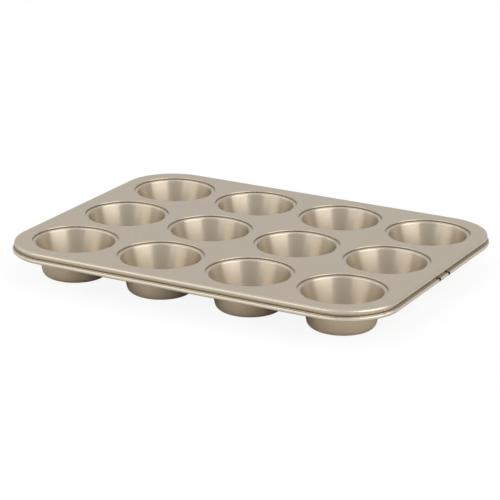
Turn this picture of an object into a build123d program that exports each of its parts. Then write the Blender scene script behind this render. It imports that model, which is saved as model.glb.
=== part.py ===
from build123d import *
from math import atan2, cos, radians, tan
import os

# A muffin tin: a pressed top plate with a turned-down skirt and a wired rim, and
# twelve separately drawn cups, each locked to its hole by a folded seam.
# Millimetres. +X along the long side, +Y along the short side, +Z up. The origin is
# on the table, at the middle of the tin, under the flat bottoms of the cups.

# ---- cups and their places ----
columns = 4                 # cups along X
rows = 3                    # cups along Y
cup_pitch = 88.9            # cup centre to cup centre, both ways
tin_height = 33.2           # table to the top of the plate
cup_mouth_radius = 35.8     # inside of a cup, where its wall line meets the land
cup_base_radius = 28.6      # inside of a cup, where its wall line meets the bottom
cup_base_fillet = 5.5       # inside radius between the wall and the bottom
cup_mouth_fillet = 1.7      # rounding of the mouth, on the side food touches
land_width = 3.0            # flat ring round the mouth, inside the seam

# ---- sheet and folds ----
sheet = 0.5                 # thickness of the plate and of the cups
fold_radius = 0.2           # inside radius of every tight fold
seam_play = 0.04            # gap between two layers of the seam
seam_end_gap = 0.3          # gap between a folded edge and the bend it points into
seam_grip = 2.6             # how far the cup's hook and the plate's hook overlap

# ---- skirt and rim ----
edge_margin = 54.9          # outermost cup centres to the face of the rim
corner_radius = 50.7        # plan radius of the rim's face at the corners
shoulder_radius = 2.0       # outside radius between the plate and the skirt
skirt_depth = 6.5           # top of the plate to the crease above the rim
skirt_lean = 18.0           # degrees that the skirt leans in, from shoulder to crease
crease_radius = 0.3         # outside radius of the crease between skirt and rim
lip_rise = 1.0              # climb of the rim's lip from the crease to its face
rim_stand_out = 1.6         # face of the rim beyond the widest part of the shoulder
rim_top_radius = 1.2        # outside radius along the top edge of the rim
rim_roll_radius = 1.6       # outside radius of the two bends under the wire
wire_diameter = 2.2         # steel wire inside the rim
wire_play = 0.05            # gap between the wire and the rolled sheet
wire_end_gap = 0.8          # gap between the two ends of the wire

# ---- the two cuts through the rim, on the short side at +X ----
cut_width = 2.2             # along the rim
cut_spacing = 19.6          # centre to centre
cut_middle = 2.0            # middle of the pair, along Y

# ---- sizes that follow ----
half_length = cup_pitch * (columns - 1) / 2 + edge_margin
half_width = cup_pitch * (rows - 1) / 2 + edge_margin
seam_step = 3 * sheet + 3 * seam_play               # plate top down to the land
layer_gap = sheet + 2 * seam_play                   # room inside a hook
land_level = tin_height - seam_step
nose_radius = cup_mouth_radius + land_width         # folded edge of a plate hole
cup_leg_tip = nose_radius + sheet + seam_end_gap    # edge of a cup, inside the seam
plate_leg_tip = cup_leg_tip + seam_grip             # edge of a hole, inside the seam
hook_radius = plate_leg_tip + seam_end_gap          # inside of the bend in a cup's hook
blank_radius = hook_radius + sheet                  # where the plain plate meets a hem
roll_size = wire_diameter + 2 * wire_play + 2 * sheet
plate_reach = shoulder_radius + rim_stand_out       # flat of the plate to the rim's face
skirt_corner = shoulder_radius * tan(radians(45 + skirt_lean / 2))
crease_reach = skirt_corner - skirt_depth * tan(radians(skirt_lean))
crease_level = tin_height - skirt_depth
wire_inset = roll_size / 2                          # rim's face to the wire's centre
wire_reach = plate_reach - wire_inset
lip_slope = atan2(lip_rise, plate_reach - crease_reach)
lip_over_wire = crease_level + (wire_reach - crease_reach) * tan(lip_slope)
wire_level = lip_over_wire - roll_size / 2 / cos(lip_slope)
roll_bottom = wire_level - roll_size / 2
roll_end = crease_level - sheet - seam_end_gap      # edge of the sheet, inside the roll


def cup_centres():
    """Every cup's name and centre, row by row from the front, left to right."""
    for row in range(rows):
        for column in range(columns):
            x = (column - (columns - 1) / 2) * cup_pitch
            y = (row - (rows - 1) / 2) * cup_pitch
            yield f"cup_row{row + 1}_{column + 1}", x, y


def sheet_section(points, radii):
    """A folded sheet's cross-section: a face line and the same line one sheet to its right."""
    corners = [Vector(x, z) for x, z in points]
    runs = [(b - a).normalized() for a, b in zip(corners, corners[1:])]
    rights = [Vector(run.Y, -run.X) for run in runs]
    back = [corners[0] + rights[0] * sheet]
    back_radii = []
    for index, radius in enumerate(radii):
        into, out_of = rights[index], rights[index + 1]
        miter = (into + out_of) * (sheet / (1 + into.dot(out_of)))
        back.append(corners[index + 1] + miter)
        turns_right = runs[index].cross(runs[index + 1]).Z < 0
        back_radii.append(radius - sheet if turns_right else radius + sheet)
    back.append(corners[-1] + rights[-1] * sheet)
    front_line = FilletPolyline(*corners, radius=radii)
    back_line = FilletPolyline(*back, radius=back_radii)
    ends = [Line(corners[0], back[0]), Line(corners[-1], back[-1])]
    return Plane.XZ * make_face([*front_line.edges(), *back_line.edges(), *ends])


def cup_section():
    """Half the cross-section of a cup, along the face that food touches."""
    bottom = sheet
    leg_level = land_level + layer_gap
    points = [
        (0, bottom),
        (cup_base_radius, bottom),
        (cup_mouth_radius, land_level),
        (hook_radius, land_level),
        (hook_radius, leg_level),
        (cup_leg_tip, leg_level),
    ]
    radii = [cup_base_fillet, cup_mouth_fillet, fold_radius, fold_radius]
    return sheet_section(points, radii)


def hem_section():
    """Half the cross-section of the hem round a hole, from the plate to its folded edge."""
    leg_level = tin_height - sheet - layer_gap - sheet
    points = [
        (plate_leg_tip, leg_level),
        (nose_radius, leg_level),
        (nose_radius, tin_height),
        (blank_radius, tin_height),
    ]
    radii = [sheet + fold_radius] * 2
    return sheet_section(points, radii)


def rim_section():
    """Cross-section of shoulder, skirt and rolled rim; X is outwards from the flat plate."""
    points = [
        (-shoulder_radius, tin_height),
        (skirt_corner, tin_height),
        (crease_reach, crease_level),
        (plate_reach, crease_level + lip_rise),
        (plate_reach, roll_bottom),
        (plate_reach - roll_size, roll_bottom),
        (plate_reach - roll_size, roll_end),
    ]
    radii = [shoulder_radius, crease_radius, rim_top_radius]
    radii += [rim_roll_radius] * 2
    return sheet_section(points, radii)


def around_the_edge(section, inset):
    """A section carried round the tin; its X = 0 lies inset from the face of the rim."""
    run_x = half_length - corner_radius
    run_y = half_width - corner_radius
    corner = corner_radius - inset
    pieces = []
    for turn, along, away in ((0, run_y, run_x), (90, run_x, run_y)):
        for side in (turn, turn + 180):
            place = Rot(0, 0, side) * Pos(away + corner, 0, 0)
            pieces.append(place * extrude(section, amount=along, both=True))
    for index, (x, y) in enumerate(((1, 1), (-1, 1), (-1, -1), (1, -1))):
        bend = revolve(Pos(corner, 0, 0) * section, axis=Axis.Z, revolution_arc=90)
        pieces.append(Pos(x * run_x, y * run_y, 0) * Rot(0, 0, 90 * index) * bend)
    return pieces


def rim_cuts():
    """The two slots that cross the rolled rim, from the lip down, open outwards."""
    depth = plate_reach - crease_reach - crease_radius - sheet
    height = crease_level + lip_rise - roll_bottom
    x = half_length - depth / 2
    z = roll_bottom + height / 2
    slots = []
    for side in (-1, 1):
        y = cut_middle + side * cut_spacing / 2
        clear = 2 * wire_play
        slots.append(Pos(x, y, z) * Pos(clear, 0, 0) * Box(depth + 2 * clear, cut_width, height + clear))
    return slots


def top_plate():
    """The flat sheet with hemmed holes, skirt, wired rim and the two cuts."""
    flat = RectangleRounded(
        2 * (half_length - plate_reach - shoulder_radius),
        2 * (half_width - plate_reach - shoulder_radius),
        corner_radius - plate_reach - shoulder_radius,
    )
    plate = Pos(0, 0, tin_height - sheet) * extrude(flat, amount=sheet)
    hem = revolve(hem_section(), axis=Axis.Z)
    hems = []
    for _, x, y in cup_centres():
        hole = Cylinder(blank_radius, 4 * sheet)
        plate -= Pos(x, y, tin_height) * hole
        hems.append(Pos(x, y, 0) * hem)
    edge = around_the_edge(rim_section(), plate_reach)
    plate = plate.fuse(*hems, *edge)
    return plate.cut(*rim_cuts())


def cup():
    """One drawn cup with its hooked flange, on the Z axis."""
    return revolve(cup_section(), axis=Axis.Z)


def rim_wire():
    """The wire inside the rim: one loop whose ends meet between the two cuts."""
    loop = None
    circle = Plane.XZ * Circle(wire_diameter / 2)
    for piece in around_the_edge(Pos(0, 0, wire_level) * circle, wire_inset):
        loop = piece if loop is None else loop + piece
    x = half_length - wire_inset
    gap = Box(2 * wire_diameter, wire_end_gap, 2 * wire_diameter)
    return loop - Pos(x, cut_middle, wire_level) * gap


def save(name, shape):
    """One sub-part, one file."""
    shape.label = name
    export_step(shape, f"parts/{name}.step")


os.makedirs("parts", exist_ok=True)
save("top_plate", top_plate())
save("rim_wire", rim_wire())
one_cup = cup()
for name, x, y in cup_centres():
    save(name, Pos(x, y, 0) * one_cup)
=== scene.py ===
"""A muffin tin on a pale floor in a soft studio.

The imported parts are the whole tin: a pressed top plate with its wired rim, the
wire, and the drawn cups locked into the plate. This file gives each part its
finish, and makes the floor, the lights and the camera.
"""
import math

import bmesh
import bpy
from mathutils import Matrix, Vector


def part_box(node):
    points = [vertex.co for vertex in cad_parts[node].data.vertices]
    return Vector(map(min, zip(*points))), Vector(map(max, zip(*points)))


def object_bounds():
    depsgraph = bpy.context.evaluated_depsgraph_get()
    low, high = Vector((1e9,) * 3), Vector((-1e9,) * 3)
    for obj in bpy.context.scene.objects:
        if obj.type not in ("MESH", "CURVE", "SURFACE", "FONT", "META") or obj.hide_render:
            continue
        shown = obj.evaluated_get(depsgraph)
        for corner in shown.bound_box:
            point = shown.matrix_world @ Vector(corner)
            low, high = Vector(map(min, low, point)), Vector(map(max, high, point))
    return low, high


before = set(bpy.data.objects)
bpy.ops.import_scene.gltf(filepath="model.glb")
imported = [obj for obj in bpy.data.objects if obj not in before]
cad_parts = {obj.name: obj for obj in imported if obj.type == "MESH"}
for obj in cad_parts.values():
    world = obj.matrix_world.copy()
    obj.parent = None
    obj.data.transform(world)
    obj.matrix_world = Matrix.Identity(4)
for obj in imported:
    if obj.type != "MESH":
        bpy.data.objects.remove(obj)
cad_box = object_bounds()

MM = 0.001
plate_top = cad_box[1].z
columns, rows = 4, 3
crease_level = plate_top - 6.5 * MM     # the crease between the skirt and the rim
cut_width = 2.2 * MM                    # each of the two cuts in the rim, on the +X side
cut_spacing = 19.6 * MM                 # centre to centre
cut_middle = 2.0 * MM                   # middle of the pair, along Y

coat_metallic = 0.85
# Painted shade, a dark brown: lightest on the inner face of the rim's lip, darker on the skirt,
# darkest at the cuts.
lip_painted_shade, skirt_painted_shade, cut_painted_shade = "#a69a84", "#8d8069", "#3a332b"

# The camera: degrees, and metres from the point it looks at.
camera_azimuth = 28.0
camera_elevation = 18.48
camera_roll = math.radians(0.7)
camera_distance = 1.9441
camera_lens = 157.7                     # mm, on a sensor 36 mm wide
camera_aim = Vector((17.41 * MM, -38.02 * MM, plate_top))
softbox_distance = 2.2                  # metres from the tin's middle
floor_half_width = 8.0                  # metres

# Cup centre to cup centre, from two neighbours' boxes.
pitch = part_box("cup_row1_2")[0].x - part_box("cup_row1_1")[0].x


def linear(hex_colour):
    """An sRGB hex colour as the linear colour that a shader takes."""
    channels = [int(hex_colour[i:i + 2], 16) / 255 for i in (1, 3, 5)]
    curve = [c / 12.92 if c <= 0.04045 else ((c + 0.055) / 1.055) ** 2.4 for c in channels]
    return (*curve, 1.0)


def direction(azimuth, elevation):
    """The unit vector from the tin towards that azimuth and elevation, in degrees."""
    a, e = math.radians(azimuth), math.radians(elevation)
    return Vector((math.sin(a) * math.cos(e), -math.cos(a) * math.cos(e), math.sin(e)))


def add(material, kind, settings=None, links=None):
    """Adds a node; settings are its own values or socket values, links are its inputs."""
    tree = material.node_tree
    node = tree.nodes.new(kind)
    for name, value in (settings or {}).items():
        if isinstance(name, str) and hasattr(node, name):
            setattr(node, name, value)
        else:
            node.inputs[name].default_value = value
    for name, socket in (links or {}).items():
        tree.links.new(socket, node.inputs[name])
    return node


def new_material(name):
    """An empty node material with only its output."""
    material = bpy.data.materials.new(name)
    material.use_nodes = True
    material.node_tree.nodes.clear()
    return material


def noise(material, place, size, detail=2.0):
    """Noise whose patches are about size metres across."""
    return add(material, "ShaderNodeTexNoise", {"Scale": 1 / size, "Detail": detail},
               {"Vector": place}).outputs["Fac"]


def ramp(material, value, start, end, low_value=0.0, high_value=1.0):
    """Turns a value that runs from start to end into low_value to high_value."""
    return add(material, "ShaderNodeMapRange",
               {"From Min": start, "From Max": end, "To Min": low_value, "To Max": high_value},
               {"Value": value}).outputs["Result"]


def product(material, first, *others):
    """The values multiplied together."""
    for other in others:
        first = add(material, "ShaderNodeMath", {"operation": "MULTIPLY"},
                    {0: first, 1: other}).outputs["Value"]
    return first


def mix(material, amount, first, second):
    """Mixes two colours; each is a hex colour or another node's colour."""
    settings, links = {}, {"Fac": amount}
    for socket, colour in (("Color1", first), ("Color2", second)):
        if isinstance(colour, str):
            settings[socket] = linear(colour)
        else:
            links[socket] = colour
    return add(material, "ShaderNodeMixRGB", settings, links).outputs["Color"]


def around_cup(material, place):
    """The direction round the nearest cup: it depends only on the angle about its axis."""
    to_first = [(columns - 1) / 2 % 1 * pitch, (rows - 1) / 2 % 1 * pitch, 0]
    moved = add(material, "ShaderNodeVectorMath", {"operation": "ADD", 1: to_first}, {0: place})
    local = add(material, "ShaderNodeVectorMath",
                {"operation": "WRAP", 1: [pitch / 2] * 3, 2: [-pitch / 2] * 3},
                {0: moved.outputs[0]})
    around = add(material, "ShaderNodeVectorMath", {"operation": "CROSS_PRODUCT", 0: (0, 0, 1)},
                 {1: local.outputs[0]})
    return add(material, "ShaderNodeVectorMath", {"operation": "NORMALIZE"},
               {0: around.outputs[0]}).outputs[0]


def upwardness(material):
    """How far the surface looks up: 1 on top, 0 on a wall, -1 underneath."""
    normal = add(material, "ShaderNodeNewGeometry").outputs["Normal"]
    return add(material, "ShaderNodeSeparateXYZ", links={0: normal}).outputs["Z"]


def outwardness(material, place):
    """Above 0 where an upright face looks away from the middle of the tin."""
    normal = add(material, "ShaderNodeNewGeometry").outputs["Normal"]
    flat = add(material, "ShaderNodeVectorMath", {"operation": "MULTIPLY", 1: (1, 1, 0)}, {0: place})
    return add(material, "ShaderNodeVectorMath", {"operation": "DOT_PRODUCT"},
               {0: flat.outputs[0], 1: normal}).outputs["Value"]


def beside_cuts(material, place):
    """1 on the rim at the edges of the two cuts, 0 a millimetre away from them."""
    axes = add(material, "ShaderNodeSeparateXYZ", links={0: place}).outputs
    distance = axes["Y"]
    for step in (cut_middle, cut_spacing / 2):
        distance = add(material, "ShaderNodeMath", {"operation": "SUBTRACT", 1: step}, {0: distance})
        distance = add(material, "ShaderNodeMath", {"operation": "ABSOLUTE"},
                       {0: distance.outputs["Value"]}).outputs["Value"]
    near = ramp(material, distance, cut_width / 2 + 1.0 * MM, cut_width / 2 + 0.4 * MM)
    right_side = ramp(material, axes["X"], cad_box[1].x - 5 * MM, cad_box[1].x - 4 * MM)
    below_skirt = ramp(material, axes["Z"], crease_level + 1.5 * MM, crease_level + 1.1 * MM)
    return product(material, near, right_side, below_skirt)


def sprayed_skin(material, place, fine_lines=None):
    """Orange peel of the sprayed coat. Its real cells are half a millimetre across and
    wouldn't show, so they are drawn 1.4 mm across."""
    peel = noise(material, place, 1.4 * MM)
    settings = {"Strength": 0.1, "Distance": 0.01 * MM}
    links = {"Height": peel}
    if fine_lines is not None:
        lines = add(material, "ShaderNodeBump", {"Strength": 0.1, "Distance": 0.01 * MM},
                    {"Height": fine_lines})
        links["Normal"] = lines.outputs["Normal"]
    return add(material, "ShaderNodeBump", settings, links).outputs["Normal"]


def champagne_release_coat_on_plate():
    """The satin champagne coating of the flat plate and its rim. To the eye it is an even,
    faintly warm grey gold that blurs every reflection; it drifts a little in colour. Painted
    shade makes it darker and browner where it looks down, in the crease and at the cuts."""
    material = new_material("champagne_release_coat_on_plate")
    place = add(material, "ShaderNodeTexCoord").outputs["Object"]
    up = upwardness(material)
    colour = mix(material, noise(material, place, 40 * MM), "#c1b5a2", "#c5b9a6")
    # The bends: the coat is a shade darker over the shoulder, and rubbed paler on the rim.
    level = add(material, "ShaderNodeSeparateXYZ", links={0: place}).outputs["Z"]
    on_shoulder = ramp(material, level, crease_level + 2 * MM, crease_level + 4 * MM)
    bend = mix(material, on_shoulder, "#c8bfae", "#bdb4a3")
    colour = mix(material, ramp(material, up, 0.95, 0.6), colour, bend)
    # Darker and browner where the surface looks down: painted shade.
    colour = mix(material, ramp(material, up, -0.1, -0.5), colour, "#b8aa93")
    # Painted shade in the crease, dark and brown: it fades out up the leaning skirt.
    from_crease = ramp(material, level, crease_level + 3.2 * MM, crease_level + 0.6 * MM)
    above_roll = ramp(material, level, crease_level - 0.1 * MM, crease_level)
    skirt_shade = product(material, from_crease, above_roll, ramp(material, up, 0.0, -0.25))
    colour = mix(material, skirt_shade, colour, skirt_painted_shade)
    # Painted shade also on the inner face of the lip, down in the crease.
    facing_in = ramp(material, outwardness(material, place), -0.01, -0.03)
    lip_shade = product(material, from_crease, above_roll, facing_in)
    colour = mix(material, lip_shade, colour, lip_painted_shade)
    # Painted shade, darkest, at the edges of the two cuts in the rim, where the slots lie in shadow.
    colour = mix(material, beside_cuts(material, place), colour, cut_painted_shade)
    # Handling marks: soft patches where the coat is a little smoother or rougher.
    roughness = ramp(material, noise(material, place, 18 * MM, 4.0), 0.3, 0.7, 0.26, 0.31)
    shader = add(material, "ShaderNodeBsdfPrincipled", {"Metallic": coat_metallic},
                 {"Base Color": colour, "Roughness": roughness,
                  "Normal": sprayed_skin(material, place)})
    add(material, "ShaderNodeOutputMaterial", links={"Surface": shader.outputs["BSDF"]})
    return material


def champagne_release_coat_on_cup():
    """The same coating over a drawn cup. Fine marks of the drawing tool run round the wall
    under the coat, so a reflection is pulled out into tall soft streaks, as on satin; the
    streaks vary a little round the wall, and the outside is thinner and warmer."""
    material = new_material("champagne_release_coat_on_cup")
    place = add(material, "ShaderNodeTexCoord").outputs["Object"]
    around = around_cup(material, place)
    colour = mix(material, noise(material, place, 40 * MM), "#c1b6a5", "#c5baa9")
    # Streaks that run up the wall: each is about 2.5 mm wide at the mouth.
    streaks = add(material, "ShaderNodeTexNoise", {"Scale": 14.0, "Detail": 2.0}, {"Vector": around})
    streaked = ramp(material, streaks.outputs["Fac"], 0.4, 0.7, 0.0, 0.15)
    colour = mix(material, streaked, colour, "#bcb09d")
    colour = mix(material, ramp(material, upwardness(material), 0.0, -0.2), colour, "#c9b9a1")
    roughness = ramp(material, streaks.outputs["Fac"], 0.3, 0.7, 0.275, 0.295)
    # Tool marks are 0.1 mm apart and wouldn't show, so they are drawn 1.2 mm apart.
    marks = add(material, "ShaderNodeTexWave",
                {"bands_direction": "Z", "Scale": math.pi / (10 * 1.2 * MM), "Distortion": 1.5,
                 "Detail": 2.0}, {"Vector": place})
    shader = add(material, "ShaderNodeBsdfPrincipled",
                 {"Metallic": coat_metallic, "Anisotropic": 0.8, "Anisotropic Rotation": 0.25},
                 {"Base Color": colour, "Roughness": roughness, "Tangent": around,
                  "Normal": sprayed_skin(material, place, marks.outputs["Fac"])})
    add(material, "ShaderNodeOutputMaterial", links={"Surface": shader.outputs["BSDF"]})
    return material


def bare_steel_wire():
    """Drawn mild steel wire, left bare. It shows only in the two cuts. Its near-black colour is
    partly the dull bare steel and partly painted shade for the inside of the cuts, which lies in
    shadow."""
    material = new_material("bare_steel_wire")
    place = add(material, "ShaderNodeTexCoord").outputs["Object"]
    # Near-black, darker than bare steel: painted shade for the shadowed cuts.
    colour = mix(material, noise(material, place, 6 * MM, 4.0), "#25221f", "#37342f")
    roughness = ramp(material, noise(material, place, 3 * MM), 0.3, 0.7, 0.4, 0.55)
    scratches = noise(material, place, 0.8 * MM)
    bump = add(material, "ShaderNodeBump", {"Strength": 0.2, "Distance": 0.02 * MM},
               {"Height": scratches}).outputs["Normal"]
    shader = add(material, "ShaderNodeBsdfPrincipled", {"Metallic": 1.0},
                 {"Base Color": colour, "Roughness": roughness, "Normal": bump})
    add(material, "ShaderNodeOutputMaterial", links={"Surface": shader.outputs["BSDF"]})
    return material


def finish_part(node, material):
    """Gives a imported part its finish."""
    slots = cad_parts[node].data.materials
    slots.clear()
    slots.append(material)


def finish_tin():
    """The cup finish on every part, then the plate's and the wire's own."""
    cup_finish = champagne_release_coat_on_cup()
    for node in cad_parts:
        finish_part(node, cup_finish)
    finish_part("top_plate", champagne_release_coat_on_plate())
    finish_part("rim_wire", bare_steel_wire())


def floor_plane(name, height, albedo, glow):
    """A plane that fills the view: white paint, part of whose light is its own."""
    mesh = bpy.data.meshes.new(name)
    shape = bmesh.new()
    bmesh.ops.create_grid(shape, x_segments=1, y_segments=1, size=floor_half_width)
    bmesh.ops.translate(shape, verts=shape.verts, vec=(0, 0, height))
    shape.to_mesh(mesh)
    shape.free()
    floor = bpy.data.objects.new(name, mesh)
    bpy.context.scene.collection.objects.link(floor)
    material = new_material(name + "_white_paint")
    shader = add(material, "ShaderNodeBsdfPrincipled",
                 {"Base Color": (albedo, albedo, albedo, 1), "Roughness": 0.9,
                  "Specular IOR Level": 0.0, "Emission Color": (1, 1, 1, 1),
                  "Emission Strength": glow})
    add(material, "ShaderNodeOutputMaterial", links={"Surface": shader.outputs["BSDF"]})
    floor.data.materials.append(material)
    return floor


def make_floor():
    """A lit floor that the tin reflects, and over it the high-key floor that is seen:
    nearly all of its light is its own, so the tin's shadow on it is only a hint."""
    lit = floor_plane("floor", -0.3 * MM, 0.75, 0.0)
    lit.visible_camera = False
    seen = floor_plane("backdrop", -0.1 * MM, 0.09, 0.90)
    seen.visible_diffuse = seen.visible_glossy = seen.visible_shadow = False


def softbox(name, turn, elevation, width, height, radiance):
    """A soft rectangular light aimed at the tin; turn is its angle right of the camera."""
    light = bpy.data.lights.new(name, "AREA")
    light.shape = "RECTANGLE"
    light.size, light.size_y = width, height
    light.energy = radiance * math.pi * width * height
    lamp = bpy.data.objects.new(name, light)
    bpy.context.scene.collection.objects.link(lamp)
    away = direction(camera_azimuth + turn, elevation)
    lamp.location = Vector((0, 0, plate_top)) + away * softbox_distance
    lamp.rotation_euler = away.to_track_quat("Z", "Y").to_euler()


def make_lights():
    """An upper and a lower softbox on each side, weak ones round them, and a soft fill."""
    softbox("right_upper_softbox", 55, 41, 2.3, 1.1, 2.32)
    softbox("right_lower_softbox", 55, 12, 2.3, 1.0, 1.61)
    softbox("left_upper_softbox", -55, 41, 2.3, 1.1, 1.41)
    softbox("left_lower_softbox", -55, 12, 2.3, 1.0, 0.88)
    softbox("side_left_softbox", -104, 20, 1.4, 1.6, 0.58)
    softbox("front_softbox", 0, 41, 1.6, 1.1, 0.37)
    softbox("back_softbox", 180, 62, 1.6, 1.2, 0.67)
    softbox("back_left_softbox", -140, 35, 1.2, 1.2, 0.27)
    world = bpy.data.worlds.new("studio")
    world.use_nodes = True
    fill = world.node_tree.nodes["Background"].inputs
    fill["Color"].default_value = (1, 1, 1, 1)
    fill["Strength"].default_value = 0.70
    bpy.context.scene.world = world


def make_camera():
    """A long lens a little to the right of the front, looking down at the plate."""
    camera = bpy.data.objects.new("camera", bpy.data.cameras.new("camera"))
    camera.data.lens = camera_lens
    camera.data.sensor_width = 36.0
    bpy.context.scene.collection.objects.link(camera)
    away = direction(camera_azimuth, camera_elevation)
    turn = away.to_track_quat("Z", "Y").to_matrix() @ Matrix.Rotation(camera_roll, 3, "Z")
    place = camera_aim + away * camera_distance
    camera.matrix_world = Matrix.Translation(place) @ turn.to_4x4()
    bpy.context.scene.camera = camera


finish_tin()
make_floor()
make_lights()
make_camera()
bpy.context.scene.view_settings.view_transform = "Standard"
